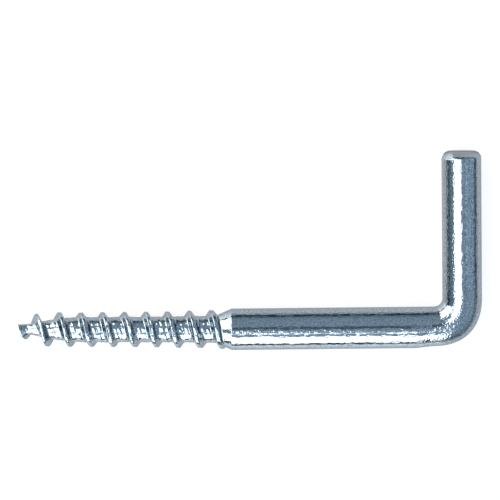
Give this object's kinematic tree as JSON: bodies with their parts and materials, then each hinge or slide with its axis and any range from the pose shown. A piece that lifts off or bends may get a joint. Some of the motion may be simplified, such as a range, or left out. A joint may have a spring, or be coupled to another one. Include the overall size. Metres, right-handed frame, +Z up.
{
  "type": "screw hook",
  "caption": "Square L-shaped screw hook of round zinc-plated steel wire: coarse wood-screw thread, plain shank, square bend and straight leg.",
  "frame": {"origin": "on the axis of the shank, at the shoulder where the thread ends and the full-diameter shank begins", "axes": "+X along the shank from the thread to the bend, +Y along the leg away from the shank, +Z up, square to the flat plane the hook lies in"},
  "size_m": [0.06, 0.0255, 0.0054],
  "materials": {
    "zinc_plate": "bright zinc plate, blue passivated, with a fine speckled grain and scuffed thread crests"
  },
  "bodies": {
    "root": {"screw_hook": "zinc_plate"}
  },
  "joints": []
}
